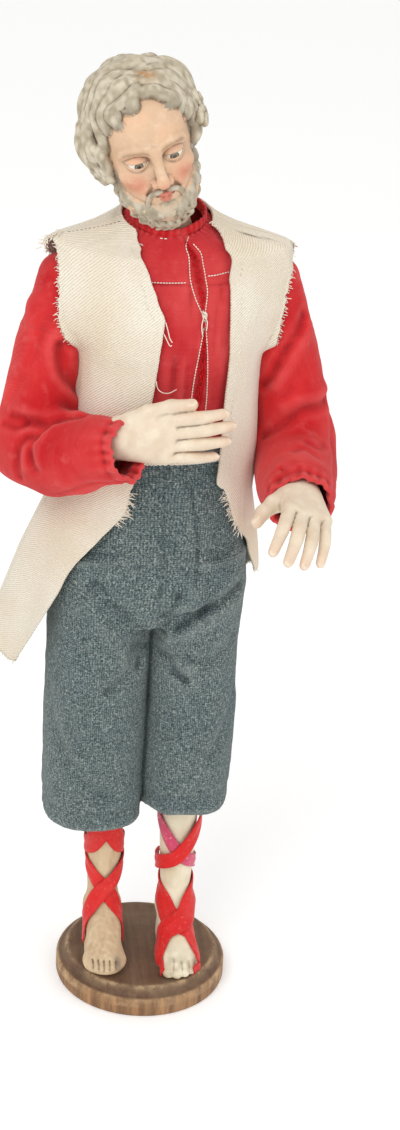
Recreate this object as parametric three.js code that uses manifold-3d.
// Dressed nativity figure: a jointed wooden body with carved head, hands and legs, sewn clothes
// and leg ribbons, pegged to a turned round base.
// Millimetres, +Z up, the figure faces -Y, origin at the centre of the base's underside.
import * as THREE from "three";
import { mergeVertices } from "three/addons/utils/BufferGeometryUtils.js";
import Module from "manifold-3d";

const kernel = await Module();
kernel.setup();

// Turned base
const baseRadius = 38;
const baseHeight = 13;
const rimHeight = 9;
const baseTopRadius = 33.5;

// Fits
const seatGap = 0.3;
const pinPlay = 0.2;
const clothGap = 0.6;
const clothThickness = 1.2;

// Legs, heights from the base's top
const legMiddle = -1.8;
const legSpread = 32.6;
const legBack = 3;
const ankleHeight = 30;
const kneeHeight = 105;
const hipHeight = 178;
const ankleRadius = 6.6;
const calfRadius = 8.2;
const kneeRadius = 8;
const thighRadius = 11.5;
const footLength = 46;
const footHalfWidth = 10;
const footPinRadius = 2;
const footPinLength = 18;
const legDowelRadius = 3;
const legDowelLength = 20;

// Pelvis and chest
const pelvisWidth = 54;
const pelvisDepth = 34;
const pelvisHeight = 34;
const waistPegRadius = 4.2;
const waistPegLength = 64;
const chestHalfWidth = 31;
const chestEase = 0.3;

// Body sections under the waistcoat: height over the waist, half width, half depth, middle, drop
// of the front. They stretch with the body between the waist and the neck.
const waistHeight = 236;
const neckHeight = 334;
const neckbandRise = 3;
const sections = [
  { up: 0, a: 30, b: 25.5, x: -3.4, y: -1, drop: 0 },
  { up: 26, a: 32, b: 28, x: -2.6, y: -1, drop: 0 },
  { up: 51, a: 34, b: 29.5, x: -2, y: -1, drop: 0 },
  { up: 67, a: 35, b: 28, x: -2, y: -1, drop: 0 },
  { up: 82, a: 37, b: 21, x: -2, y: 0, drop: 1 },
  { up: 91, a: 32, b: 16.5, x: -2.6, y: 0.6, drop: 2 },
  { up: 97.5, a: 20.6, b: 15.6, x: -3.8, y: 1.6, drop: 3.2 },
  { up: 101, a: 14.8, b: 14.6, x: -4.6, y: 2.2, drop: 4 },
];
const bodyStretch = (neckHeight + neckbandRise - waistHeight) / sections[sections.length - 1].up;
const torso = sections.map(({ up, ...section }) => ({ z: waistHeight + up * bodyStretch, ...section }));
const torsoSquare = 2.4;
const torsoMiddle = -2;

// Waistcoat
const waistcoatGap = 1.9;
const waistRelief = 6.2;
const shoulderOverhang = 10;
const armholeFront = 66;
const armholeBack = 116;
const sideSeam = 92;
const seamGap = 0.6;
const skirtDrop = 76;
const rightFlare = 21;
const leftFlare = 0;
const backFlare = 7;

// Breeches
const seat = [
  { z: 252, a: 34, b: 29.6, x: -3, y: -0.8 },
  { z: 232, a: 35.6, b: 30.4, x: -4, y: -0.4 },
  { z: 208, a: 38.5, b: 32, x: -5, y: 0 },
  { z: 186, a: 39.5, b: 31.5, x: -5.6, y: 0 },
  { z: 172, a: 36, b: 27, x: -5.6, y: 0 },
];
const hemRight = 72;
const hemLeft = 79;
const legRightX = -25;
const legLeftX = 15;
const legRightHalf = 21;
const legLeftHalf = 19;
const legTubeTop = 198;

// Arms
const shoulderDrop = 22;
const shoulderHeight = neckHeight - shoulderDrop;
const shoulderSpan = 83;
const shoulderRadius = 8;
const upperArmLength = 66;
const forearmLength = 46;
const armRadius = 5.6;
const elbowRadius = 7;
const tongueThickness = 4.4;
const tongueRadius = 6.2;
const armPinRadius = 1.4;
const shoulderPinRadius = 2.5;
const wristPegRadius = 1.7;
const wristPegLength = 16;
const wristRootRadius = 4.2;
const rightUpperArm = new THREE.Vector3(-0.17, -0.13, -0.975).normalize();
const rightForearm = new THREE.Vector3(0.59, -0.75, 0.29).normalize();
const leftUpperArm = new THREE.Vector3(0.18, -0.05, -0.98).normalize();
const leftForearm = new THREE.Vector3(-0.09, -0.985, -0.11).normalize();

// Sleeves
const capRadius = 10.4;
const sleeveRadius = 13.6;
const sleeveElbow = 16;
const cuffRadius = 13.4;
const sleeveSag = 6;
const cuffReach = 4;

// Hands
const handLength = 52;
const palmLength = 26;
const palmHalfWidth = 10;
const palmHalfThick = 4.6;
const fingerRadius = 2.75;

// Neck and head
const neckX = -4;
const neckY = 3;
const neckRadius = 9.2;
const neckPostRadius = 4;
const headRoll = 18;
const headBow = 14;
const headTurn = 4;
const skullHalfWidth = 19;
const skullHalfDepth = 22.5;
const skullHalfHeight = 23.5;
const skullUp = 38;
const skullBack = 6;
const hairDepth = 4.6;
const beardDrop = 10.5;

// Ribbons
const ribbonWidth = 6.2;
const ribbonThickness = 0.7;
const ribbonClear = 0.9;
const waistCordRadius = 0.8;

const wood = new THREE.MeshStandardMaterial({ color: 0x8a6f55, roughness: 0.8 });
const bareWood = new THREE.MeshStandardMaterial({ color: 0xcdb491, roughness: 0.75 });
const cream = new THREE.MeshStandardMaterial({ color: 0xe9dcc4, roughness: 0.5 });
const hairPaint = new THREE.MeshStandardMaterial({ color: 0xb3a896, roughness: 0.7 });
const redCotton = new THREE.MeshStandardMaterial({ color: 0xb93a40, roughness: 0.95 });
const twill = new THREE.MeshStandardMaterial({ color: 0xd9d0c0, roughness: 0.95 });
const tweed = new THREE.MeshStandardMaterial({ color: 0x5d6f7c, roughness: 0.98 });
const redRibbon = new THREE.MeshStandardMaterial({ color: 0xd13a33, roughness: 0.6 });
const pinkRibbon = new THREE.MeshStandardMaterial({ color: 0xcf8196, roughness: 0.7 });
const linenCord = new THREE.MeshStandardMaterial({ color: 0xe2dccd, roughness: 0.9 });

const point = (x, y, z) => new THREE.Vector3(x, y, z);
const rad = THREE.MathUtils.degToRad;
const mix = THREE.MathUtils.lerp;
const ease = (t) => THREE.MathUtils.smoothstep(t, 0, 1);
const bump = (value, middle, width) => Math.exp(-(((value - middle) / width) ** 2));

function toSolid(geometry) {
  const bare = geometry.index ? geometry.clone() : geometry;
  for (const name of Object.keys(bare.attributes)) if (name !== "position") bare.deleteAttribute(name);
  const welded = mergeVertices(bare, 1e-4);
  const mesh = new kernel.Mesh({
    numProp: 3,
    vertProperties: new Float32Array(welded.attributes.position.array),
    triVerts: new Uint32Array(welded.index.array),
  });
  return new kernel.Manifold(mesh);
}

function toGeometry(solid) {
  const mesh = solid.getMesh();
  const geometry = new THREE.BufferGeometry();
  geometry.setAttribute("position", new THREE.BufferAttribute(new Float32Array(mesh.vertProperties), 3));
  geometry.setIndex(new THREE.BufferAttribute(new Uint32Array(mesh.triVerts), 1));
  geometry.computeVertexNormals();
  return geometry;
}

function facesToSolid(points, faces) {
  let volume = 0;
  const turned = point(0, 0, 0);
  for (let i = 0; i < faces.length; i += 3) {
    const [a, b, c] = [points[faces[i]], points[faces[i + 1]], points[faces[i + 2]]];
    volume += turned.crossVectors(b, c).dot(a);
  }
  const order = volume < 0 ? faces.slice().reverse() : faces;
  const geometry = new THREE.BufferGeometry().setFromPoints(points);
  geometry.setIndex(order);
  return toSolid(geometry);
}

const join = (first, ...rest) => rest.reduce((all, next) => all.add(next), first);
const cut = (body, ...tools) => tools.reduce((left, tool) => left.subtract(tool), body);

// The outer skin of a solid, without the pockets between the lumps it was joined from.
function filled(solid) {
  return solid.decompose().reduce((best, next) => (next.volume() > best.volume() ? next : best));
}

// A solid through rings of equal point count, closed by a fan at both ends.
function loft(rings) {
  const sides = rings[0].length;
  const points = rings.flat();
  const faces = [];
  for (let i = 0; i + 1 < rings.length; i++) {
    for (let j = 0; j < sides; j++) {
      const a = i * sides + j;
      const b = i * sides + ((j + 1) % sides);
      faces.push(a, b, b + sides, a, b + sides, a + sides);
    }
  }
  const last = (rings.length - 1) * sides;
  const middle = (ring) => ring.reduce((sum, p) => sum.add(p), point(0, 0, 0)).divideScalar(sides);
  points.push(middle(rings[0]), middle(rings[rings.length - 1]));
  for (let j = 0; j < sides; j++) {
    const next = (j + 1) % sides;
    faces.push(points.length - 2, next, j);
    faces.push(points.length - 1, last + j, last + next);
  }
  return facesToSolid(points, faces);
}

// A closed sheet of even thickness over a surface of u and v from 0 to 1.
function sheet(surface, uSteps, vSteps, thickness) {
  const step = 1e-3;
  const front = [];
  const back = [];
  for (let i = 0; i <= uSteps; i++) {
    for (let j = 0; j <= vSteps; j++) {
      const u = THREE.MathUtils.clamp(i / uSteps, step, 1 - step);
      const v = THREE.MathUtils.clamp(j / vSteps, step, 1 - step);
      const at = surface(i / uSteps, j / vSteps);
      const du = surface(u + step, v).sub(surface(u - step, v));
      const dv = surface(u, v + step).sub(surface(u, v - step));
      const normal = du.cross(dv).normalize().multiplyScalar(thickness / 2);
      front.push(at.clone().add(normal));
      back.push(at.clone().sub(normal));
    }
  }
  const rows = vSteps + 1;
  const count = front.length;
  const faces = [];
  const quad = (a, b, c, d) => faces.push(a, b, c, a, c, d);
  for (let i = 0; i < uSteps; i++) {
    for (let j = 0; j < vSteps; j++) {
      const a = i * rows + j;
      quad(a, a + rows, a + rows + 1, a + 1);
      quad(count + a, count + a + 1, count + a + rows + 1, count + a + rows);
    }
    const low = i * rows;
    const high = i * rows + vSteps;
    quad(low, count + low, count + low + rows, low + rows);
    quad(high + rows, count + high + rows, count + high, high);
  }
  const far = uSteps * rows;
  for (let j = 0; j < vSteps; j++) {
    quad(j + 1, count + j + 1, count + j, j);
    quad(far + j, count + far + j, count + far + j + 1, far + j + 1);
  }
  return facesToSolid(front.concat(back), faces);
}

// Rings square to a path; each station has a place and two half sizes.
function limbRings(stations, sides, across = point(1, 0, 0), ripple = () => 0) {
  return stations.map((station, i) => {
    const before = stations[Math.max(i - 1, 0)].at;
    const after = stations[Math.min(i + 1, stations.length - 1)].at;
    const along = after.clone().sub(before).normalize();
    const side = across.clone().addScaledVector(along, -across.dot(along)).normalize();
    const front = along.clone().cross(side);
    return Array.from({ length: sides }, (_, j) => {
      const angle = (j / sides) * 2 * Math.PI;
      const wide = station.wide + ripple(angle, i);
      const deep = (station.deep ?? station.wide) + ripple(angle, i);
      return station.at
        .clone()
        .addScaledVector(side, wide * Math.cos(angle))
        .addScaledVector(front, deep * Math.sin(angle));
    });
  });
}

// A limb with domed ends.
function limb(stations, sides = 10, across = point(1, 0, 0), ripple = () => 0, domed = true) {
  const first = stations[0];
  const last = stations[stations.length - 1];
  const dome = (end, towards) => {
    const out = end.at.clone().sub(towards.at).normalize();
    const deep = end.deep ?? end.wide;
    const reach = Math.min(end.wide, deep);
    return [0.62, 0.95].map((share) => {
      const left = Math.sqrt(1 - share * share);
      const at = end.at.clone().addScaledVector(out, share * reach);
      return { at, wide: end.wide * left, deep: deep * left };
    });
  };
  const start = domed ? dome(first, stations[1]).reverse() : [];
  const finish = dome(last, stations[stations.length - 2]);
  return loft(limbRings([...start, ...stations, ...finish], sides, across, ripple));
}

// A round pin from one place to another; the bore for it is the same with play added.
function pin(from, to, radius, sides = 12) {
  const along = to.clone().sub(from);
  const geometry = new THREE.CylinderGeometry(radius, radius, along.length(), sides);
  geometry.applyQuaternion(new THREE.Quaternion().setFromUnitVectors(point(0, 1, 0), along.normalize()));
  const middle = from.clone().add(to).multiplyScalar(0.5);
  geometry.translate(middle.x, middle.y, middle.z);
  return toSolid(geometry);
}

function block(width, depth, height, at) {
  return toSolid(new THREE.BoxGeometry(width, depth, height).translate(at.x, at.y, at.z));
}

function ball(radii, at, across = 12, down = 8) {
  const geometry = new THREE.SphereGeometry(1, across, down);
  geometry.rotateX(Math.PI / 2).scale(radii.x, radii.y, radii.z).translate(at.x, at.y, at.z);
  return toSolid(geometry);
}

// Smooth reading of a table of stations at any place along it.
function along(table, place) {
  const last = table.length - 1;
  const i = Math.min(Math.max(Math.floor(place), 0), last - 1);
  const t = place - i;
  const read = (k, name) => table[Math.min(Math.max(k, 0), last)][name];
  const result = {};
  for (const name of Object.keys(table[0])) {
    const [p, q, r, s] = [i - 1, i, i + 1, i + 2].map((k) => read(k, name));
    const cubic = (2 * p - 5 * q + 4 * r - s) * t * t + (3 * q - p - 3 * r + s) * t ** 3;
    result[name] = (2 * q + (r - p) * t + cubic) / 2;
  }
  return result;
}

const oval = (value, square) => Math.sign(value) * Math.abs(value) ** (2 / square);

const group = new THREE.Group();
group.name = "nativity_figure";
const figure = new THREE.Group();
figure.name = "figure";
figure.position.z = baseHeight;
group.add(figure);

function add(name, solid, material, parent = figure) {
  const mesh = new THREE.Mesh(toGeometry(solid), material);
  mesh.name = name;
  parent.add(mesh);
  return mesh;
}

// Base, turned with a hollow moulding between its side and its top.
const legX = { right: legMiddle - legSpread / 2, left: legMiddle + legSpread / 2 };
const cove = 4;
const basePath = [new THREE.Vector2(0, 0), new THREE.Vector2(baseRadius - 0.6, 0)];
basePath.push(new THREE.Vector2(baseRadius, 0.8), new THREE.Vector2(baseRadius, rimHeight - 0.8));
basePath.push(new THREE.Vector2(baseRadius - 0.6, rimHeight));
for (let i = 0; i <= cove; i++) {
  const turn = (i / cove) * (Math.PI / 2);
  const run = baseRadius - 1.4 - baseTopRadius;
  const rise = baseHeight - rimHeight;
  const out = baseTopRadius + run * (1 - Math.sin(turn));
  basePath.push(new THREE.Vector2(out, rimHeight + rise * (1 - Math.cos(turn))));
}
basePath.push(new THREE.Vector2(0, baseHeight));
const turnedBase = toSolid(new THREE.LatheGeometry(basePath, 26).rotateX(Math.PI / 2));
const footPinHole = (side) =>
  pin(
    point(legX[side], legBack, baseHeight - footPinLength / 2 - seatGap),
    point(legX[side], legBack, baseHeight + 1),
    footPinRadius + pinPlay,
  );
add("base_plinth", cut(turnedBase, footPinHole("right"), footPinHole("left")), wood, group);

// Lower legs with feet.
function footRing(y, half, height, x) {
  const sides = 10;
  return Array.from({ length: sides }, (_, j) => {
    const angle = (j / sides) * 2 * Math.PI;
    const low = Math.sin(angle) < 0 ? 4 : 2.2;
    const rise = height / 2 + (height / 2) * oval(Math.sin(angle), low);
    return point(x + half * oval(Math.cos(angle), low), y, seatGap + rise);
  });
}

function lowerLeg(side) {
  const x = legX[side];
  const lean = -0.02;
  const shape = [
    [0.96, 0.3, 6],
    [0.9, 0.62, 13],
    [0.78, 0.84, 19],
    [0.6, 0.9, 24],
    [0.42, 0.94, 19.5],
    [0.25, 1, 13],
    [0.12, 0.95, 9.5],
    [0.03, 0.7, 6.5],
    [0, 0.4, 4],
  ];
  const heel = legBack + footLength * 0.27;
  const foot = loft(
    shape.map(([share, wide, height]) => {
      const y = heel - footLength * (1 - share);
      return footRing(y, footHalfWidth * wide, height, x + (y - legBack) * -lean);
    }),
  );
  const calf = (kneeHeight - ankleHeight) * 0.62 + ankleHeight;
  const shinRadius = mix(ankleRadius, calfRadius, 0.7);
  const shin = loft(
    limbRings(
      [
        { at: point(x, legBack, seatGap + 5), wide: ankleRadius * 0.9 },
        { at: point(x, legBack, ankleHeight * 0.6), wide: ankleRadius },
        { at: point(x, legBack, ankleHeight), wide: ankleRadius },
        { at: point(x, legBack + 0.6, mix(ankleHeight, calf, 0.55)), wide: shinRadius },
        { at: point(x, legBack + 1, calf), wide: calfRadius },
        { at: point(x, legBack, kneeHeight - 8), wide: kneeRadius },
        { at: point(x, legBack, kneeHeight), wide: kneeRadius * 0.92 },
      ],
      12,
    ),
  );
  const pinTop = point(x, legBack, footPinLength / 2 + seatGap);
  const below = pin(point(x, legBack, -1), pinTop, footPinRadius + pinPlay);
  const above = pin(
    point(x, legBack, kneeHeight - legDowelLength / 2 - seatGap),
    point(x, legBack, kneeHeight + 1),
    legDowelRadius + pinPlay,
  );
  return cut(join(foot, shin), below, above);
}

const legMesh = {};
for (const side of ["right", "left"]) {
  const x = legX[side];
  const material = side === "right" ? bareWood : cream;
  legMesh[side] = add(`${side}_lower_leg`, lowerLeg(side), material);
  const footPin = [point(x, legBack, -footPinLength / 2), point(x, legBack, footPinLength / 2)];
  add(`${side}_foot_pin`, pin(...footPin, footPinRadius), wood);
  const half = legDowelLength / 2;
  const kneePin = [point(x, legBack, kneeHeight - half), point(x, legBack, kneeHeight + half)];
  add(`${side}_knee_dowel`, pin(...kneePin, legDowelRadius), wood);
  const hipX = x + (legMiddle - x) * -0.12;
  const top = hipHeight - seatGap;
  const thigh = loft(
    limbRings(
      [
        { at: point(x, legBack, kneeHeight + seatGap), wide: kneeRadius },
        { at: point(x, legBack, kneeHeight + 10), wide: kneeRadius * 1.1 },
        { at: point(mix(x, hipX, 0.5), legBack * 0.5, mix(kneeHeight, hipHeight, 0.6)), wide: thighRadius },
        { at: point(hipX, 0, top - 8), wide: thighRadius },
        { at: point(hipX, 0, top), wide: thighRadius * 0.9 },
      ],
      12,
    ),
  );
  const kneeEnd = kneePin[1].clone().add(point(0, 0, seatGap));
  const kneeBore = pin(point(x, legBack, kneeHeight - 2), kneeEnd, legDowelRadius + pinPlay);
  const hipPin = [point(hipX, 0, hipHeight - half), point(hipX, 0, hipHeight + half)];
  const hipEnd = hipPin[0].clone().sub(point(0, 0, seatGap));
  const hipBore = pin(hipEnd, point(hipX, 0, hipHeight + 2), legDowelRadius + pinPlay);
  add(`${side}_thigh`, cut(thigh, kneeBore, hipBore), wood);
  add(`${side}_hip_dowel`, pin(...hipPin, legDowelRadius), wood);
}

// Pelvis block, waist peg and chest block.
const peg = { from: hipHeight + pelvisHeight - 20, to: hipHeight + pelvisHeight - 20 + waistPegLength };
const hipXs = ["right", "left"].map((side) => legX[side] + (legMiddle - legX[side]) * -0.12);
function pelvisRing(wide, z, grow = 0) {
  return Array.from({ length: 16 }, (_, j) => {
    const angle = (j / 16) * 2 * Math.PI;
    return point(
      legMiddle + ((pelvisWidth / 2) * wide + grow) * oval(Math.cos(angle), 3),
      ((pelvisDepth / 2) * wide + grow) * oval(Math.sin(angle), 3),
      z,
    );
  });
}
const pelvisShape = [[0, 0.86], [0.25, 1], [0.75, 0.97], [1, 0.8]];
const pelvisRings = pelvisShape.map(([share, wide]) => pelvisRing(wide, hipHeight + pelvisHeight * share));
const pegAt = (z) => point(torsoMiddle, 0, z);
const hipBoreTop = hipHeight + legDowelLength / 2 + seatGap;
const pelvisBores = hipXs.map((x) =>
  pin(point(x, 0, hipHeight - 1), point(x, 0, hipBoreTop), legDowelRadius + pinPlay),
);
const waistBoreTop = pegAt(hipHeight + pelvisHeight + 1);
pelvisBores.push(pin(pegAt(peg.from - seatGap), waistBoreTop, waistPegRadius + pinPlay));
add("pelvis_block", cut(loft(pelvisRings), ...pelvisBores), wood);
add("waist_peg", pin(pegAt(peg.from), pegAt(peg.to), waistPegRadius), wood);

// The body's skin: angle 0 is the front, +90 the figure's left.
function torsoSkin(angle, place, off = 0) {
  const at = (turn, level) => {
    const station = along(torso, level);
    return point(
      station.x + station.a * oval(Math.sin(turn), torsoSquare),
      station.y - station.b * oval(Math.cos(turn), torsoSquare),
      station.z - station.drop * Math.cos(turn),
    );
  };
  const here = at(angle, place);
  if (!off) return here;
  const step = 0.02;
  const level = Math.min(place, torso.length - 1 - step);
  const around = at(angle + step, level).sub(at(angle - step, level));
  const upward = at(angle, level + step).sub(at(angle, level - step));
  const normal = around.cross(upward).normalize();
  return here.addScaledVector(normal, off);
}

function torsoRings(off, from, to, rows, sides) {
  return Array.from({ length: rows + 1 }, (_, i) =>
    Array.from({ length: sides }, (_, j) => torsoSkin((j / sides) * 2 * Math.PI, mix(from, to, i / rows), off)),
  );
}

const shoulder = {
  right: point(torsoMiddle - shoulderSpan / 2, 1, shoulderHeight),
  left: point(torsoMiddle + shoulderSpan / 2, 1, shoulderHeight),
};
const neckPlace = torso.length - 1;
const shirtSides = 18;
const shirtRows = 9;
const chestRows = 6;
const chestTop = (neckPlace * chestRows) / shirtRows;
const chestBody = loft(torsoRings(-clothThickness - chestEase, 0, chestTop, chestRows, shirtSides));
const chestSpace = block(2 * chestHalfWidth, 200, 400, point(torsoMiddle, 0, 250));
const neckAt = (z) => point(neckX, neckY, z);
const neckSeat = neckHeight - neckRadius - 4;
const chestBores = [
  pin(pegAt(peg.from), pegAt(peg.to + seatGap), waistPegRadius + pinPlay),
  pin(neckAt(neckSeat - 14 - seatGap), neckAt(neckSeat + 40), neckPostRadius + pinPlay),
  pin(neckAt(neckSeat), neckAt(neckSeat + 60), neckRadius + 3),
];
const pinReach = 14;
for (const side of ["right", "left"]) {
  const out = side === "right" ? -1 : 1;
  const from = shoulder[side].clone().setX(torsoMiddle + out * (chestHalfWidth - pinReach));
  const to = shoulder[side].clone().addScaledVector(point(out, 0, 0), 4);
  const spare = point(out * seatGap, 0, 0);
  chestBores.push(pin(from.clone().sub(spare), to.clone().add(spare), shoulderPinRadius + pinPlay));
  add(`${side}_shoulder_pin`, pin(from, to, shoulderPinRadius), wood);
}
add("chest_block", cut(chestBody.intersect(chestSpace), ...chestBores), wood);

// Arms: a ball on the shoulder pin, a forked elbow and a pegged wrist.
const armDirections = { right: [rightUpperArm, rightForearm], left: [leftUpperArm, leftForearm] };
const arms = {};
for (const side of ["right", "left"]) {
  const [upper, fore] = armDirections[side];
  const from = shoulder[side];
  const elbow = from.clone().addScaledVector(upper, upperArmLength);
  const wrist = elbow.clone().addScaledVector(fore, forearmLength);
  const hinge = upper.clone().cross(fore).normalize();
  arms[side] = { from, elbow, wrist, upper, fore, hinge };
  const out = side === "right" ? -1 : 1;
  const at = (start, direction, length) => start.clone().addScaledVector(direction, length);
  const cheek = 2 * elbowRadius * 0.98;

  const shaft = loft(
    limbRings(
      [
        { at: at(from, upper, shoulderRadius * 0.3), wide: armRadius * 0.95 },
        { at: at(from, upper, upperArmLength * 0.45), wide: armRadius },
        { at: at(from, upper, upperArmLength - 16), wide: armRadius * 0.92 },
        { at: at(from, upper, upperArmLength - 2), wide: armRadius * 0.7 },
      ],
      10,
      hinge,
    ),
  );
  const knuckle = pin(at(elbow, hinge, -cheek / 2), at(elbow, hinge, cheek / 2), elbowRadius);
  const slotHalf = tongueThickness / 2 + seatGap;
  const slot = pin(at(elbow, hinge, -slotHalf), at(elbow, hinge, slotHalf), elbowRadius + 4, 10);
  const elbowBore = pin(at(elbow, hinge, -cheek), at(elbow, hinge, cheek), armPinRadius + pinPlay);
  const shoulderBore = pin(
    from.clone().add(point(-out * 20, 0, 0)),
    from.clone().add(point(out * (4 + seatGap), 0, 0)),
    shoulderPinRadius + pinPlay,
  );
  const shoulderBall = ball(point(shoulderRadius, shoulderRadius, shoulderRadius), from, 10, 6);
  const upperArm = cut(join(shoulderBall, shaft, knuckle), slot, elbowBore, shoulderBore);
  add(`${side}_upper_arm`, upperArm, wood);
  add(`${side}_elbow_pin`, pin(at(elbow, hinge, -cheek / 2), at(elbow, hinge, cheek / 2), armPinRadius), wood);

  const neckStart = elbowRadius + 1.5;
  const tongueHalf = tongueThickness / 2;
  const tongue = pin(at(elbow, hinge, -tongueHalf), at(elbow, hinge, tongueHalf), tongueRadius);
  const bar = loft(
    limbRings(
      [
        { at: at(elbow, fore, 0.5), wide: tongueThickness / 2, deep: tongueRadius * 0.55 },
        { at: at(elbow, fore, neckStart + 3), wide: tongueThickness / 2, deep: tongueRadius * 0.55 },
      ],
      8,
      hinge,
    ),
  );
  const forearm = loft(
    limbRings(
      [
        { at: at(elbow, fore, neckStart), wide: armRadius * 0.55 },
        { at: at(elbow, fore, neckStart + 8), wide: armRadius * 0.95 },
        { at: at(elbow, fore, forearmLength * 0.6), wide: armRadius * 0.9 },
        { at: at(elbow, fore, forearmLength - seatGap), wide: armRadius * 0.75 },
      ],
      12,
      hinge,
    ),
  );
  const half = wristPegLength / 2;
  const wristBore = pin(at(wrist, fore, -half - seatGap), at(wrist, fore, 2), wristPegRadius + pinPlay);
  add(`${side}_forearm`, cut(join(tongue, bar, forearm), elbowBore, wristBore), wood);
  add(`${side}_wrist_peg`, pin(at(wrist, fore, -half), at(wrist, fore, half), wristPegRadius), wood);
}

// Hands: x towards the fingertips, y towards the palm, the thumb on the z side given by its sign.
function handShape(thumbSide, bend, fan, wristDirection) {
  const spread = [0.78, 0.28, -0.25, -0.76];
  const reach = [0.94, 1, 0.96, 0.84];
  const palm = limb(
    [
      { at: point(3.2, 0, 0), wide: palmHalfWidth * 0.66, deep: palmHalfThick * 0.95 },
      { at: point(palmLength * 0.45, -0.4, 0), wide: palmHalfWidth * 0.9, deep: palmHalfThick },
      { at: point(palmLength * 0.85, -0.4, 0), wide: palmHalfWidth * 0.98, deep: palmHalfThick * 0.78 },
    ],
    10,
    point(0, 0, 1),
  );
  const parts = [palm];
  const fingerLength = handLength - palmLength - fingerRadius;
  spread.forEach((share, i) => {
    const radius = fingerRadius * (i === 3 ? 0.86 : 1);
    const turn = rad(fan) * share;
    let at = point(palmLength * 0.8, -0.4, palmHalfWidth * share * thumbSide);
    const stations = [{ at: at.clone(), wide: radius * 1.05 }];
    [0.52, 0.5, 0.3].forEach((share2, k) => {
      const curl = rad(bend[k]);
      const length = fingerLength * reach[i] * share2;
      const flat = point(Math.cos(turn), 0, Math.sin(turn) * thumbSide);
      const step = flat.multiplyScalar(Math.cos(curl)).add(point(0, Math.sin(curl), 0));
      at = at.clone().addScaledVector(step, length);
      stations.push({ at: at.clone(), wide: radius * (1 - 0.1 * (k + 1)) });
    });
    parts.push(limb(stations, 6, point(0, 0, 1), () => 0, false));
  });
  const thumbZ = palmHalfWidth * thumbSide;
  parts.push(
    limb(
      [
        { at: point(palmLength * 0.25, 0.6, thumbZ * 0.45), wide: fingerRadius * 1.15 },
        { at: point(palmLength * 0.62, 1, thumbZ * 1.12), wide: fingerRadius * 1.08 },
        { at: point(palmLength * 1.0, 0.6, thumbZ * 1.36), wide: fingerRadius * 0.85 },
      ],
      6,
      point(0, 1, 0),
    ),
  );
  const rootAt = (reach) => wristDirection.clone().multiplyScalar(reach);
  const root = [1, wristPegLength * 0.34].map((reach) => ({ at: rootAt(reach), wide: wristRootRadius }));
  parts.push(limb(root, 8, point(0, 1, 0), () => 0, false));
  return filled(join(...parts));
}

const handSpace = {};
function placeHand(side, fingers, palm, thumbSide, bend, fan) {
  const arm = arms[side];
  const x = fingers.clone().normalize();
  const z = x.clone().cross(palm).normalize();
  const y = z.clone().cross(x);
  const turn = new THREE.Matrix4().makeBasis(x, y, z);
  const back = turn.clone().transpose();
  const start = arm.wrist.clone().addScaledVector(arm.fore, seatGap);
  const localFore = arm.fore.clone().applyMatrix4(back);
  const clearPlane = (size) => {
    const box = block(size, size, size, point(0, 0, -size / 2));
    const facing = new THREE.Quaternion().setFromUnitVectors(point(0, 0, 1), localFore);
    return toSolid(toGeometry(box).applyQuaternion(facing));
  };
  const half = wristPegLength / 2;
  const boreEnds = [-4, half].map((reach) => localFore.clone().multiplyScalar(reach));
  const bore = pin(...boreEnds, wristPegRadius + pinPlay);
  const shape = cut(handShape(thumbSide, bend, fan, localFore), clearPlane(60), bore);
  const mesh = add(`${side}_hand`, shape, cream);
  mesh.quaternion.setFromRotationMatrix(turn);
  mesh.position.copy(start);
  const deep = palmHalfThick + clothGap;
  const palmEnd = start.clone().addScaledVector(x, palmLength);
  handSpace[side] = limb(
    [
      { at: start.clone(), wide: palmHalfWidth * 0.7 + clothGap, deep },
      { at: palmEnd, wide: palmHalfWidth + 2 * clothGap, deep },
    ],
    10,
    z,
  );
}
placeHand("right", point(1, -0.06, 0.02), point(0.06, 1, 0), 1, [-4, 6, 14], 6);
placeHand("left", point(-0.04, -0.98, -0.06), point(-0.35, 0.1, -0.9), -1, [12, 36, 58], 16);

// Neck post in the chest, and the head pinned to its tongue.
const headFrame = new THREE.Group();
headFrame.name = "head_frame";
headFrame.position.copy(neckAt(neckHeight));
headFrame.rotation.set(rad(headBow), rad(-headRoll), rad(headTurn), "ZYX");
figure.add(headFrame);
const toHead = new THREE.Matrix4().makeRotationFromEuler(headFrame.rotation);
const nodAxis = point(1, 0, 0).applyMatrix4(toHead);
const postTongue = 4;
const nodAt = (reach) => neckAt(neckHeight).addScaledVector(nodAxis, reach);
const postSlab = pin(nodAt(-postTongue / 2), nodAt(postTongue / 2), neckRadius - 2);
const headDown = point(0, 0, -1).applyMatrix4(toHead);
const barFoot = neckAt(neckHeight).addScaledVector(headDown, (neckHeight - neckSeat - 1) / -headDown.z);
const postBar = loft(
  limbRings(
    [
      { at: barFoot, wide: postTongue / 2 - 0.3, deep: 3.4 },
      { at: neckAt(neckHeight), wide: postTongue / 2 - 0.3, deep: 3.4 },
    ],
    8,
    nodAxis,
  ),
);
const neckFlange = pin(neckAt(neckSeat + seatGap), neckAt(neckSeat + 3), neckRadius - 2.4);
const spigot = pin(neckAt(neckSeat - 14), neckAt(neckSeat + 1), neckPostRadius);
const neckBore = (reach, grow) => pin(nodAt(-reach), nodAt(reach), armPinRadius + grow);
add("neck_post", cut(join(postSlab, postBar, neckFlange, spigot), neckBore(20, pinPlay)), wood);
add("neck_pin", neckBore(neckRadius - 1.6, 0), wood);

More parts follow.
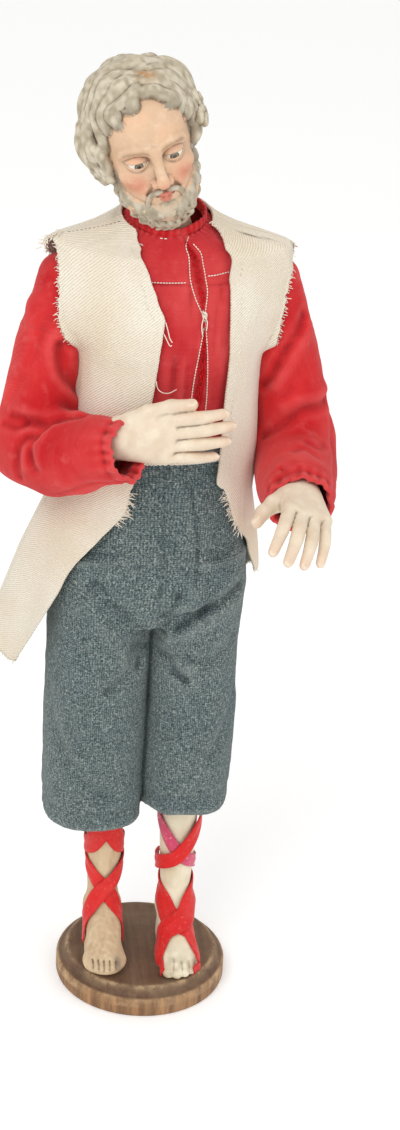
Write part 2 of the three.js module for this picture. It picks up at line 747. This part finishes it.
// Head in its own frame: the neck pin at the origin, the face towards -y.
const skullAt = point(0, skullBack, skullUp);
const onFace = (ahead, up) => point(0, skullBack - skullHalfDepth * ahead, skullUp + skullHalfHeight * up);
const headParts = [
  ball(point(skullHalfWidth, skullHalfDepth, skullHalfHeight), skullAt, 12, 10),
  limb(
    [
      { at: point(0, 0, 0), wide: neckRadius },
      { at: point(0, 3, 12), wide: neckRadius },
      { at: point(0, 6, 24), wide: neckRadius * 1.1 },
    ],
    10,
  ),
  limb(
    [
      { at: onFace(0.45, -0.2), wide: skullHalfWidth * 0.86, deep: 11 },
      { at: onFace(0.5, -0.78), wide: skullHalfWidth * 0.56, deep: 9 },
    ],
    12,
  ),
  limb(
    [
      { at: onFace(0.95, 0.1), wide: 1.6, deep: 1.8 },
      { at: onFace(1.1, -0.24), wide: 2.8, deep: 2.4 },
    ],
    8,
  ),
];
// Hair and beard are carved in rows of rounded locks.
function locks(radii, at, across, down, around, rows, depth) {
  const geometry = new THREE.SphereGeometry(1, across, down).rotateX(Math.PI / 2);
  const places = geometry.attributes.position;
  for (let i = 0; i < places.count; i++) {
    const place = point(places.getX(i), places.getY(i), places.getZ(i));
    const turn = Math.atan2(place.x, -place.y);
    const level = Math.asin(THREE.MathUtils.clamp(place.z, -1, 1));
    const lump = Math.cos(around * turn) * Math.cos(rows * level) * Math.cos(level);
    place.multiplyScalar(1 + depth * lump);
    places.setXYZ(i, at.x + place.x * radii.x, at.y + place.y * radii.y, at.z + place.z * radii.z);
  }
  return toSolid(geometry);
}
const hairSize = point(skullHalfWidth + hairDepth, skullHalfDepth + 1.5, skullHalfHeight);
headParts.push(locks(hairSize, skullAt.clone().add(point(0, 5, 3)), 15, 10, 7, 5, 0.09));
for (const out of [-1, 1]) {
  const temple = onFace(0.3, -0.1).setX(out * (skullHalfWidth + 1.2));
  headParts.push(ball(point(5.6, 6.5, 6), temple, 8, 6));
  headParts.push(ball(point(5, 6, 5.5), temple.clone().add(point(-out, 4, -10)), 8, 6));
}
headParts.push(locks(point(skullHalfWidth * 0.84, 13, beardDrop), onFace(0.52, -0.76), 12, 9, 6, 5, 0.08));
const slotHalf = postTongue / 2 + seatGap;
const slotTop = pin(point(-slotHalf, 0, 0), point(slotHalf, 0, 0), neckRadius - 2 + seatGap);
const crossBore = pin(point(-neckRadius - 4, 0, 0), point(neckRadius + 4, 0, 0), armPinRadius + pinPlay);
const slotReach = block(2 * slotHalf, 2 * neckRadius + 4, 3 * neckRadius, point(0, 0, -1.5 * neckRadius));
add("head", cut(filled(join(...headParts)), slotReach, slotTop, crossBore), hairPaint, headFrame);

// Shirt body, open at the waist, the neck and both armholes, and its neckband.
const shirtOuter = loft(torsoRings(0, 0, neckPlace, shirtRows, shirtSides));
const shirtInner = loft([
  torsoSkinRing(-clothThickness, 0, -3),
  ...torsoRings(-clothThickness, 0, neckPlace, shirtRows, shirtSides),
  torsoSkinRing(-clothThickness, neckPlace, 3),
]);
function torsoSkinRing(off, place, lift) {
  const turn = (2 * Math.PI) / shirtSides;
  return Array.from({ length: shirtSides }, (_, j) => torsoSkin(j * turn, place, off).add(point(0, 0, lift)));
}
const armholes = ["right", "left"].map((side) => {
  const out = side === "right" ? -1 : 1;
  const from = shoulder[side].clone().setX(torsoMiddle + out * (chestHalfWidth - 4));
  return pin(from, from.clone().add(point(out * 40, 0, 0)), capRadius - 0.6, 14);
});
add("shirt_body", cut(shirtOuter, shirtInner, ...armholes), redCotton);
const neckTop = torso[torso.length - 1];
const bandRing = (grow, lift) =>
  Array.from({ length: 20 }, (_, j) => {
    const angle = (j / 20) * 2 * Math.PI;
    return point(
      neckTop.x + (neckTop.a + grow) * Math.sin(angle),
      neckTop.y - (neckTop.b + grow) * Math.cos(angle),
      neckTop.z - neckTop.drop * Math.cos(angle) + lift,
    );
  });
const bandOuter = loft([bandRing(0.2, seatGap), bandRing(0.6, 1.6), bandRing(0.2, 3.2)]);
const bandInner = loft([bandRing(-clothThickness, seatGap - 2), bandRing(-clothThickness, 5)]);
add("shirt_neckband", cut(bandOuter, bandInner), redCotton);

// Waistcoat skin: the body's skin pushed out, then a skirt that flares below the waist.
function skirtFall(angle) {
  const degrees = THREE.MathUtils.radToDeg(angle);
  const tail = 0.1 * bump(degrees, -74, 16) - 0.42 * bump(degrees, 84, 40);
  return skirtDrop * (1 + tail + 0.03 * Math.cos(3 * angle));
}
function skirtFlare(angle) {
  const degrees = THREE.MathUtils.radToDeg(angle);
  const behind = Math.abs(degrees) > 100 ? Math.abs(degrees) - 100 : 0;
  const rightSide = rightFlare * bump(degrees, -98, 44);
  const leftSide = leftFlare * bump(degrees, 90, 40);
  return rightSide + leftSide + backFlare * ease(behind / 50) + 2;
}
function waistcoatSkin(angle, place) {
  const wrapped = angle > Math.PI ? angle - 2 * Math.PI : angle < -Math.PI ? angle + 2 * Math.PI : angle;
  if (place >= 0) {
    const relief = waistRelief * (1 - ease(place / 2));
    const skin = torsoSkin(wrapped, place, waistcoatGap + clothThickness / 2 + relief);
    const shoulderShare = bump(place, 4.5, place < 4.5 ? 1.5 : 0.75) * Math.abs(Math.sin(wrapped)) ** 4;
    return skin.add(point(Math.sign(wrapped) * shoulderOverhang * shoulderShare, 0, shoulderShare * 2));
  }
  const t = -place;
  const start = torsoSkin(wrapped, 0, waistcoatGap + clothThickness / 2 + waistRelief);
  const z = start.z - skirtFall(wrapped) * t;
  const level = THREE.MathUtils.clamp((seat[1].z - z) / (seat[1].z - seat[2].z) + 1, 0, 2.6);
  const hip = along(seat, level);
  const ripple = 1.4 * t * Math.cos(8 * wrapped + 0.6);
  const off = clothGap + clothThickness / 2 + 1.2 + skirtFlare(wrapped) * t ** 1.2 + ripple;
  const hang = point(
    hip.x + (hip.a + off) * oval(Math.sin(wrapped), 2.4),
    hip.y - (hip.b + off) * oval(Math.cos(wrapped), 2.4),
    z,
  );
  return start.setZ(z).lerp(hang, ease(t * 3.5));
}

function edgeAngle(stops, place) {
  let i = 0;
  while (i < stops.length - 2 && place > stops[i + 1][0]) i++;
  const share = THREE.MathUtils.clamp((place - stops[i][0]) / (stops[i + 1][0] - stops[i][0]), 0, 1);
  return mix(stops[i][1], stops[i + 1][1], ease(share) * 0.5 + share * 0.5);
}
// Front edges: a place up the body, the tails below 0, and the angle of the edge there.
const rightTail = [[-1, -72], [-0.55, -49], [-0.1, -21]];
const rightEdge = [...rightTail, [0.6, -14], [1.5, -10], [2.3, -6], [3.1, -4], [4.2, -12], [6, -42], [7, -52]];
const leftTail = [[-1, 76], [-0.6, 66], [-0.2, 44]];
const leftEdge = [...leftTail, [0.2, 28], [1.2, 29], [2.2, 30], [3.2, 31], [4.4, 26], [6, 40], [7, 50]];
const armholeStops = (deep) => [
  [-1, sideSeam],
  [1.4, sideSeam],
  [2, mix(sideSeam, deep, 0.75)],
  [2.8, deep],
  [3.7, mix(90, deep, 0.85)],
  [4.3, mix(90, deep, 0.4)],
  [4.8, 90],
  [7, 90],
];
const waistcoatTop = 6.6;
const halfSeam = seamGap;

function waistcoatPanel(firstEdge, secondEdge, columns, rows, thickness) {
  const surface = (u, v) => {
    const place = v < 0.3 ? mix(-1, 0, v / 0.3) : mix(0, waistcoatTop, (v - 0.3) / 0.7);
    return waistcoatSkin(rad(mix(firstEdge(place), secondEdge(place), u)), place);
  };
  return sheet(surface, columns, rows, thickness);
}
const frontHole = (place) => edgeAngle(armholeStops(armholeFront), place) - halfSeam;
const backHole = (place) => edgeAngle(armholeStops(armholeBack), place) + halfSeam;
const waistcoatEdges = {
  right_front: [(place) => -frontHole(place), (place) => edgeAngle(rightEdge, place), 5, 17],
  left_front: [(place) => edgeAngle(leftEdge, place), frontHole, 5, 17],
  back: [backHole, (place) => 360 - backHole(place), 11, 17],
};
for (const [name, edges] of Object.entries(waistcoatEdges)) {
  add(`waistcoat_${name}`, waistcoatPanel(...edges, clothThickness), twill);
}

// Breeches: a seat and two wide legs, parted down the middle seam.
function clothRing(x, y, a, b, z, folds = 0) {
  return Array.from({ length: 20 }, (_, j) => {
    const angle = (j / 20) * 2 * Math.PI;
    const fold = folds * Math.cos(4 * angle + z * 0.045);
    return point(x + (a + fold) * oval(Math.sin(angle), 2.4), y - (b + fold) * oval(Math.cos(angle), 2.4), z);
  });
}
function breechesSkin(less, open) {
  const ring = (x, y, a, b, z, folds) => clothRing(x, y, a - less, b - less, z, folds);
  const seatRings = seat.map(({ z, a, b, x, y }) => ring(x, y, a, b, z, 0));
  const top = seat[0];
  if (open) seatRings.unshift(ring(top.x, top.y, top.a, top.b, top.z + 3, 0));
  const leg = (x, half, hem) => {
    const high = legTubeTop - (open ? less : 0);
    const rings = [
      ring(x + (x < legMiddle ? 1.4 : -0.6), 0, half - 1.4, 29.5, high, 0),
      ring(x, 0, half, 28.5, mix(hem, high, 0.7), 0.4),
      ring(x, 0.4, half + 0.2, 25, mix(hem, high, 0.4), 0.7),
      ring(x, 1, half + 0.3, 23, mix(hem, high, 0.15), 0.8),
      ring(x, 1.4, half - 0.6, 22, hem, 0.6),
    ];
    if (open) rings.push(ring(x, 1.4, half - 0.6, 22, hem - 4, 0.6));
    return loft(rings);
  };
  return join(loft(seatRings), leg(legRightX, legRightHalf, hemRight), leg(legLeftX, legLeftHalf, hemLeft));
}
const breeches = cut(breechesSkin(0, false), breechesSkin(clothThickness, true));
const inseam = (legRightX + legRightHalf + legLeftX - legLeftHalf) / 2;
const halfSpace = (side) => block(200, 200, 400, point(inseam + side * (100 + seatGap / 2), 0, 150));
add("breeches_right", breeches.intersect(halfSpace(-1)), tweed);
add("breeches_left", breeches.intersect(halfSpace(1)), tweed);

// Sleeves: baggy tubes over both arm pieces, cut away where they lie against the body.
const bodySpace = loft(torsoRings(waistcoatGap + clothThickness + clothGap, 0.2, torso.length - 2.6, 8, 20));
const waistSpace = breechesSkin(-clothGap - 2 * waistCordRadius, false);
const panelSpace = Object.values(waistcoatEdges).map(([first, second, columns, rows]) => {
  const outward = Math.sign(second(0) - first(0)) * 1.2;
  const wider = [(place) => first(place) - outward, (place) => second(place) + outward];
  return waistcoatPanel(...wider, columns, rows, clothThickness + 2 * clothGap);
});
for (const side of ["right", "left"]) {
  const { from, elbow, fore, upper, hinge } = arms[side];
  const at = (start, direction, length, sag = 0) =>
    start.clone().addScaledVector(direction, length).add(point(0, 0, -sag));
  const cuffEnd = forearmLength + cuffReach;
  const skin = (less) => {
    const folds = (angle, i) => Math.cos(5 * angle + i * 1.4) * 0.55;
    const high = limb(
      [
        { at: at(from, upper, 0), wide: capRadius - less },
        { at: at(from, upper, upperArmLength * 0.35), wide: sleeveRadius - less },
        { at: at(from, upper, upperArmLength * 0.75), wide: sleeveElbow - 0.6 - less },
        { at: at(from, upper, upperArmLength * 1.0), wide: sleeveElbow - less },
      ],
      10,
      hinge,
      folds,
    );
    const low = [
      { at: at(elbow, fore, 0, sleeveSag * 0.4), wide: sleeveElbow + 0.4 - less },
      { at: at(elbow, fore, forearmLength * 0.3, sleeveSag), wide: sleeveElbow + 0.6 - less },
      { at: at(elbow, fore, forearmLength * 0.62, sleeveSag), wide: sleeveElbow - 0.2 - less },
      { at: at(elbow, fore, forearmLength * 0.86, sleeveSag * 0.5), wide: cuffRadius + 0.6 - less },
      { at: at(elbow, fore, cuffEnd, sleeveSag * 0.3), wide: cuffRadius - 1.6 - less },
    ];
    if (less) low.push({ at: at(elbow, fore, cuffEnd + 6, sleeveSag * 0.3), wide: cuffRadius - 1.6 - less });
    const start = { at: at(elbow, fore, -sleeveElbow * 0.7, sleeveSag * 0.4), wide: sleeveElbow * 0.66 - less };
    const lower = loft(limbRings([start, ...low], 10, hinge, folds));
    return join(high, lower);
  };
  const clearOf = [bodySpace, waistSpace, ...panelSpace, handSpace[side]];
  add(`${side}_sleeve`, filled(cut(skin(0), skin(clothThickness), ...clearOf)), redCotton);
}

// Tow wound round the pelvis, which fills out the seat of the breeches.
const towLess = clothThickness + seatGap;
const tow = loft([seat[2], seat[3]].map(({ x, y, a, b, z }) => clothRing(x, y, a - towLess, b - towLess, z)));
const pelvisSpace = loft([hipHeight - 20, hipHeight + pelvisHeight + 20].map((z) => pelvisRing(1, z, seatGap)));
add("hip_padding", cut(tow, pelvisSpace), linenCord);

// Cord tied round the top of the breeches.
const cordPath = Array.from({ length: 20 }, (_, j) => {
  const angle = (j / 20) * 2 * Math.PI;
  const waist = along(seat, 0.25);
  const out = waistCordRadius + seatGap;
  return point(
    waist.x + (waist.a + out) * oval(Math.sin(angle), 2.4),
    waist.y - (waist.b + out) * oval(Math.cos(angle), 2.4),
    waist.z,
  );
});
const cordCurve = new THREE.CatmullRomCurve3(cordPath, true);
add("waist_cord", toSolid(new THREE.TubeGeometry(cordCurve, 26, waistCordRadius, 4, true)), linenCord);

// Ribbons laid on the leg: each stop is a place inside the leg and the way out from it.
function ribbon(side, stops, lift = 0) {
  const leg = legMesh[side];
  group.updateMatrixWorld(true);
  const caster = new THREE.Raycaster();
  const reachOut = 60;
  const reachAt = (inside, way) => {
    const start = inside.clone().add(figure.position).addScaledVector(way, reachOut);
    caster.set(start, way.clone().negate());
    caster.far = reachOut;
    const hit = caster.intersectObject(leg)[0];
    return hit ? reachOut - hit.distance : 0;
  };
  const samples = [];
  const perStop = 4;
  for (let i = 0; i + 1 < stops.length; i++) {
    for (let k = 0; k < perStop + (i + 2 === stops.length ? 1 : 0); k++) {
      const value = stops[i].map((number, n) => mix(number, stops[i + 1][n], k / perStop));
      const inside = point(legX[side] + value[0], legBack + value[1], value[2]);
      const way = point(value[3], value[4], value[5]).normalize();
      samples.push({ inside, way, at: inside.clone().addScaledVector(way, reachAt(inside, way)) });
    }
  }
  const rings = samples.map(({ inside, way, at }, i) => {
    const next = samples[Math.min(i + 1, samples.length - 1)];
    const run = next.at.clone().sub(samples[Math.max(i - 1, 0)].at);
    const across = run.cross(way).normalize();
    const own = at.distanceTo(inside);
    const lanes = [-1, 0, 1].map((lane) => {
      const from = inside.clone().addScaledVector(across, (lane * ribbonWidth) / 2);
      const reach = Math.max(reachAt(from, way), own - 1.6) + ribbonClear + lift;
      const low = from.clone().addScaledVector(way, reach);
      return { low, high: from.addScaledVector(way, reach + ribbonThickness) };
    });
    return [...lanes.map((lane) => lane.low), ...lanes.reverse().map((lane) => lane.high)];
  });
  return loft(rings);
}
const mirrored = (stops) => stops.map(([x, y, z, dx, dy, dz]) => [-x, y, z, -dx, dy, dz]);
const ankleStrand = [
  [0, -7, 10, -1, -0.1, -0.35],
  [0, -6, 13, -1, -0.2, 0.5],
  [0, -2, 21, -0.7, -0.8, 0.6],
  [0, 0, 30.5, 0, -1, 0.25],
  [0, 0, 40, 0.8, -0.6, 0],
  [0, 0, 46, 0.75, 0.65, 0],
  [0, 0, 47, -0.05, 1, 0],
];
const garterStrand = [
  [0, 0, 53, -0.75, 0.65, 0],
  [0, 0, 56, -0.8, -0.6, 0],
  [0, 0, 64, 0, -1, 0],
  [0, 0, 72, 0.8, -0.6, 0],
  [0, 0, 78, 0.75, 0.65, 0],
  [0, 0, 80, -0.05, 1, 0],
];
const calfStrand = [
  [0, 0, 42, -0.75, 0.65, 0],
  [0, 0, 43, -0.95, -0.2, 0],
  [0, 0, 50, 0, -1, 0],
  [0, 0, 62, 0.85, -0.5, 0],
  [0, 0, 70, 0.75, 0.65, 0],
  [0, 0, 73, -0.05, 1, 0],
];
const toeStrand = [
  [0, -22, 5.5, -1, -0.25, -0.45],
  [0, -18, 6, -1, -0.2, 0.5],
  [0, -14, 8, -0.8, -0.5, 0.9],
  [0, -8, 11, 0, -0.8, 0.8],
  [0, -2, 21, 0.75, -0.8, 0.3],
  [0, 0, 30, 0.9, 0.3, 0],
  [0, 0, 33, -0.05, 1, 0],
];
const crossed = (side, strand) => filled(join(ribbon(side, strand), ribbon(side, mirrored(strand), 0.2)));
add("right_ankle_ribbon", crossed("right", ankleStrand), redRibbon);
add("right_garter_ribbon", crossed("right", garterStrand), redRibbon);
add("left_foot_ribbon", crossed("left", toeStrand), redRibbon);
add("left_faded_ribbon", ribbon("left", mirrored(calfStrand)), pinkRibbon);
add("left_calf_ribbon", ribbon("left", calfStrand, 2.6 * ribbonThickness), redRibbon);

export default group;
